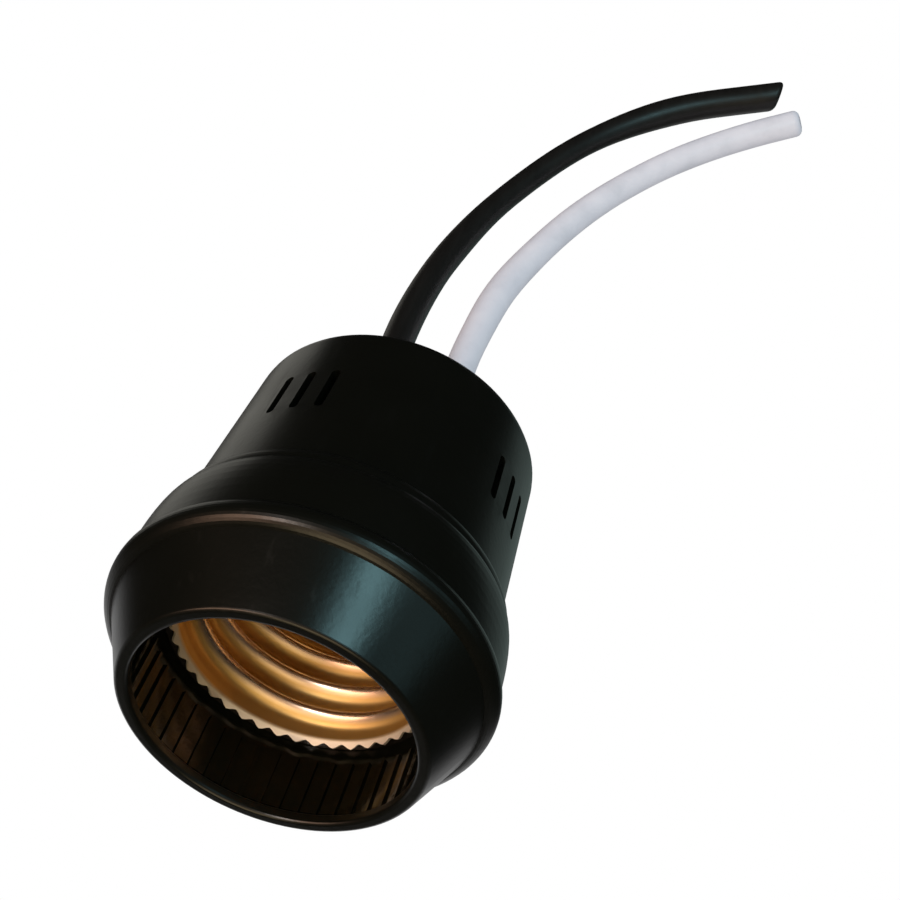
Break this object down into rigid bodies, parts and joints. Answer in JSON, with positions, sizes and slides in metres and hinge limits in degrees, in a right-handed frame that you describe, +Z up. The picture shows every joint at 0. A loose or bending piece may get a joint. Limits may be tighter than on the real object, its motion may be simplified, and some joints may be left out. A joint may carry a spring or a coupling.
{
  "type": "pendant lamp socket",
  "caption": "Black moulded pendant lamp socket for an E27 lamp, with a rolled brass screw shell, a sprung centre contact and a black and a white flying lead.",
  "frame": {"origin": "centre of the mouth's flat rim, on the socket's axis", "axes": "+Z up the axis from the mouth to the leads, +X the side of the white lead, -Y the side that faces the camera of the picture"},
  "size_m": [0.0578, 0.0414, 0.1301],
  "materials": {
    "phenolic": "satin moulded black",
    "core_moulding": "glossy moulded black",
    "shell_brass": "bright rolled sheet",
    "contact_brass": "bright spring strip",
    "rivet_brass": "bright",
    "tinned_brass": "tinned",
    "steel": "plated",
    "fibre": "matt vulcanised fibre",
    "sealing_compound": "semi-gloss black",
    "strands": "bright bare copper strands",
    "black_covering": "satin black covering",
    "white_covering": "satin white covering"
  },
  "bodies": {
    "housing": {"collar": "phenolic", "lower_shell": "phenolic", "cap": "phenolic", "core": "core_moulding", "screw_shell": "shell_brass", "fibre_disc": "fibre", "contact_foot": "contact_brass", "line_rivet": "rivet_brass", "neutral_rivet": "rivet_brass", "shell_rivet_front": "rivet_brass", "shell_rivet_back": "rivet_brass", "line_lug": "tinned_brass", "neutral_lug": "tinned_brass", "core_screw_left": "steel", "core_screw_right": "steel", "black_conductor": "strands", "white_conductor": "strands", "seal_plug": "sealing_compound", "black_lead": "black_covering", "white_lead": "white_covering"},
    "tongue": {"contact_tongue": "contact_brass"}
  },
  "joints": [
    {"name": "contact_press", "type": "hinge", "parent": "housing", "child": "tongue", "pos_m": [-0.00685, 0, 0.0283], "axis": [0, -1, 0], "range_deg": [0, 12], "stiffness_Nm_per_rad": 0.05}
  ]
}
